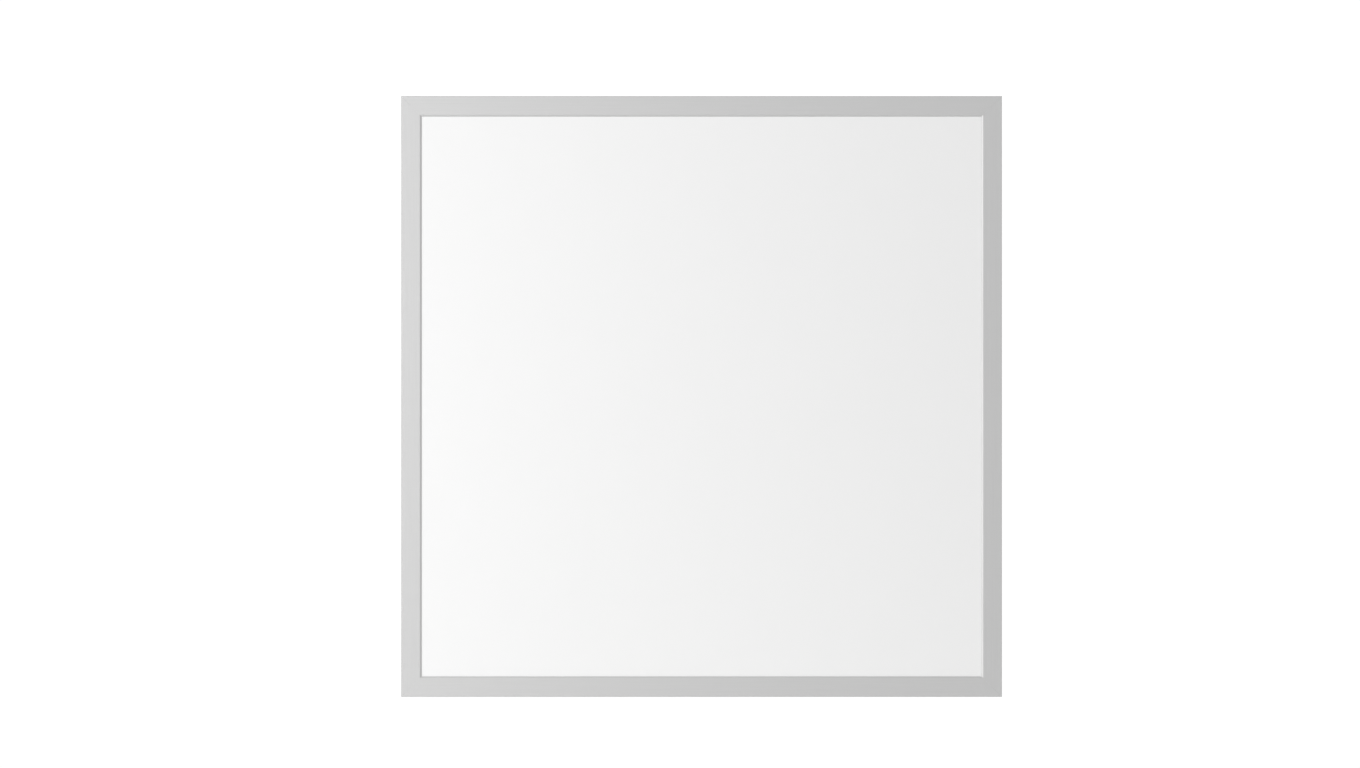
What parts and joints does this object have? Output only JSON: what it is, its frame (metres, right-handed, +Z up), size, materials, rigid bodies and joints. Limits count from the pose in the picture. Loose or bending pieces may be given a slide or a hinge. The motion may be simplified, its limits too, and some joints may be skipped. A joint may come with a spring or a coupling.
{
  "type": "led panel light",
  "caption": "Slim square edge-lit LED ceiling panel: mitred aluminium frame, plain opal diffuser, screwed back cover, and a rear driver case with a hinged terminal lid.",
  "frame": {"origin": "centre of the plane of the frame's front face, which rests on a ceiling grid", "axes": "+X to the right seen from the lit side, +Y from the lit face towards the back cover and driver, +Z up with the panel standing on edge; in a ceiling the lit face (-Y) looks down"},
  "size_m": [0.595, 0.0341, 0.595],
  "materials": {
    "anodised_aluminium": "satin",
    "cast_zinc": "satin",
    "plated_steel": "satin",
    "opal_diffuser": "satin",
    "acrylic": "gloss",
    "reflective_film": "satin",
    "foam": "matte",
    "white_board": "satin",
    "thermal_tape": "matte",
    "white_steel": "satin",
    "grommet_rubber": "matte",
    "case_plastic": "satin",
    "circuit_board": "satin",
    "terminal_plastic": "satin",
    "button_plastic": "satin",
    "ferrite": "matte",
    "winding_tape": "satin",
    "capacitor_sleeve": "gloss",
    "lead_sheath": "satin"
  },
  "bodies": {
    "panel": {"frame_rail_left": "anodised_aluminium", "frame_rail_top": "anodised_aluminium", "frame_rail_right": "anodised_aluminium", "frame_rail_bottom": "anodised_aluminium", "corner_key_bottom_left": "cast_zinc", "corner_key_top_left": "cast_zinc", "corner_key_top_right": "cast_zinc", "corner_key_bottom_right": "cast_zinc", "cover_screw_left_1": "plated_steel", "cover_screw_left_2": "plated_steel", "cover_screw_left_3": "plated_steel", "cover_screw_left_4": "plated_steel", "cover_screw_top_1": "plated_steel", "cover_screw_top_2": "plated_steel", "cover_screw_top_3": "plated_steel", "cover_screw_top_4": "plated_steel", "cover_screw_right_1": "plated_steel", "cover_screw_right_2": "plated_steel", "cover_screw_right_3": "plated_steel", "cover_screw_right_4": "plated_steel", "cover_screw_bottom_1": "plated_steel", "cover_screw_bottom_2": "plated_steel", "cover_screw_bottom_3": "plated_steel", "cover_screw_bottom_4": "plated_steel", "diffuser": "opal_diffuser", "light_guide": "acrylic", "reflector_sheet": "reflective_film", "foam_sheet": "foam", "led_strip_left": "white_board", "led_strip_right": "white_board", "thermal_tape_left": "thermal_tape", "thermal_tape_right": "thermal_tape", "back_cover": "white_steel", "hanger_nut_bottom_left": "plated_steel", "hanger_nut_top_left": "plated_steel", "hanger_nut_top_right": "plated_steel", "hanger_nut_bottom_right": "plated_steel", "cable_grommet": "grommet_rubber", "driver_tray": "case_plastic", "driver_cover": "case_plastic", "lid_hinge_pin": "plated_steel", "driver_board": "circuit_board", "supply_terminal": "terminal_plastic", "transformer_core": "ferrite", "transformer_winding": "winding_tape", "input_capacitor": "capacitor_sleeve", "output_capacitor": "capacitor_sleeve", "input_choke": "ferrite", "output_socket": "terminal_plastic", "cable_clamp": "terminal_plastic", "clamp_screw_top": "plated_steel", "clamp_screw_bottom": "plated_steel", "lead_left": "lead_sheath", "lead_right": "lead_sheath", "case_screw_left": "plated_steel", "case_screw_right": "plated_steel"},
    "lid": {"terminal_lid": "case_plastic"},
    "live_button": {"release_button_live": "button_plastic"},
    "neutral_button": {"release_button_neutral": "button_plastic"},
    "earth_button": {"release_button_earth": "button_plastic"}
  },
  "joints": [
    {"name": "lid_hinge", "type": "hinge", "parent": "panel", "child": "lid", "pos_m": [0.076, 0.0319, 0.0304], "axis": [1, 0, 0], "range_deg": [0, 110]},
    {"name": "live_release", "type": "slide", "parent": "panel", "child": "live_button", "axis": [0, -1, 0], "range_m": [0, 0.0012], "stiffness_N_per_m": 2000, "springref_m": -0.001},
    {"name": "neutral_release", "type": "slide", "parent": "panel", "child": "neutral_button", "axis": [0, -1, 0], "range_m": [0, 0.0012], "stiffness_N_per_m": 2000, "springref_m": -0.001},
    {"name": "earth_release", "type": "slide", "parent": "panel", "child": "earth_button", "axis": [0, -1, 0], "range_m": [0, 0.0012], "stiffness_N_per_m": 2000, "springref_m": -0.001}
  ]
}
